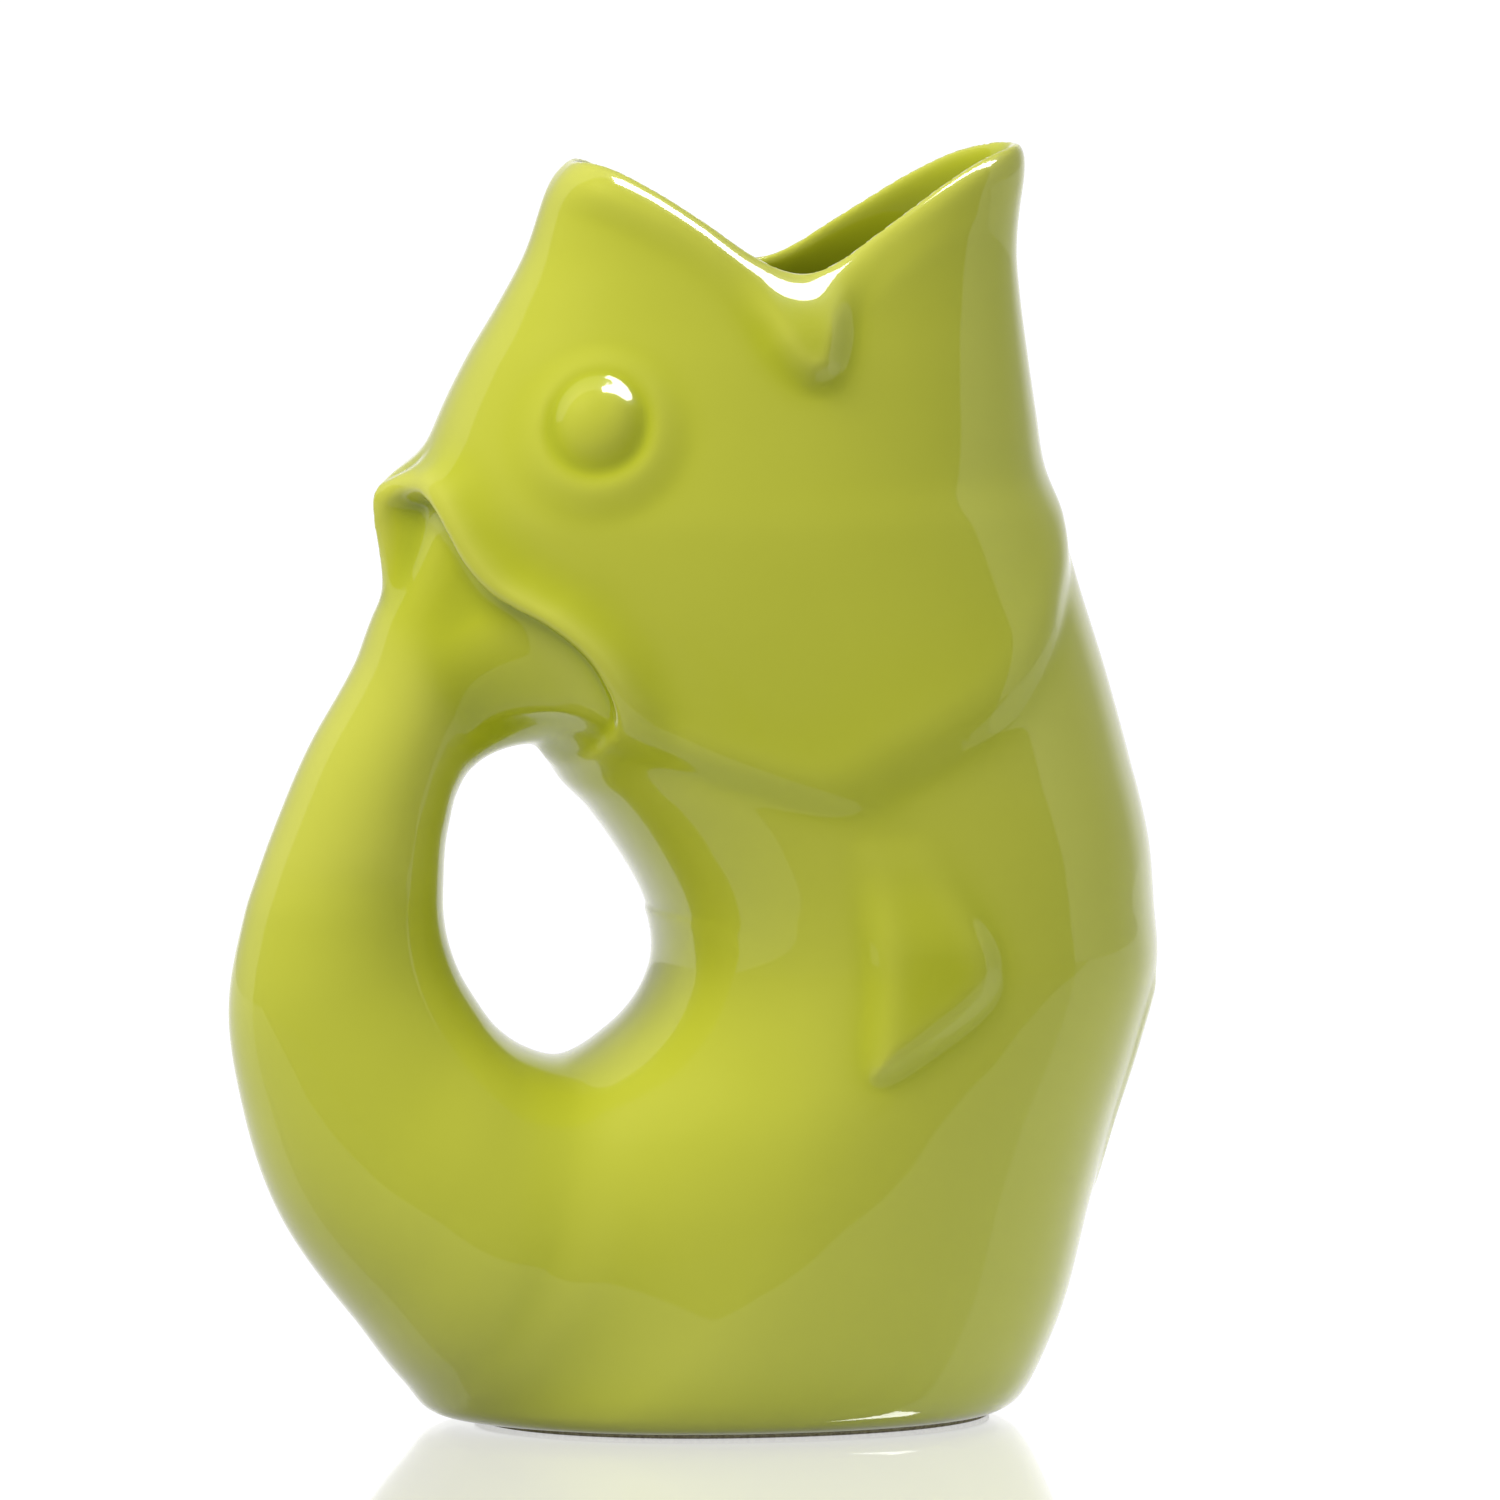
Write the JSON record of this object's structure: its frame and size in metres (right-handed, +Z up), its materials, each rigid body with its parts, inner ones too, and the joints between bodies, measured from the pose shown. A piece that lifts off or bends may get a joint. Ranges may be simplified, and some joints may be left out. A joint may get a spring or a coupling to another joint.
{
  "type": "gurgle jug",
  "caption": "Glazed stoneware jug shaped as an upright fish: its open mouth pours, and its hollow tail curls up behind as the handle.",
  "frame": {"origin": "on the surface the jug stands on, under the middle of its bounding box", "axes": "+X towards the spout and the belly, -X towards the tail handle, +Z up; Y = 0 is the plane of symmetry"},
  "size_m": [0.2012, 0.1184, 0.2755],
  "materials": {
    "glaze": "glossy yellow-green glaze over stoneware",
    "bare_clay": "matt unglazed stoneware"
  },
  "bodies": {
    "root": {"belly_casting": "glaze", "head_casting": "glaze", "mouth_lip": "glaze", "tail_casting": "glaze", "tail_fin": "glaze", "foot_ring": "bare_clay", "right_eye": "glaze", "left_eye": "glaze", "right_eye_socket": "glaze", "left_eye_socket": "glaze", "right_mouth_corner": "glaze", "left_mouth_corner": "glaze", "right_pectoral_fin": "glaze", "left_pectoral_fin": "glaze", "right_pelvic_fin": "glaze", "left_pelvic_fin": "glaze"}
  },
  "joints": []
}
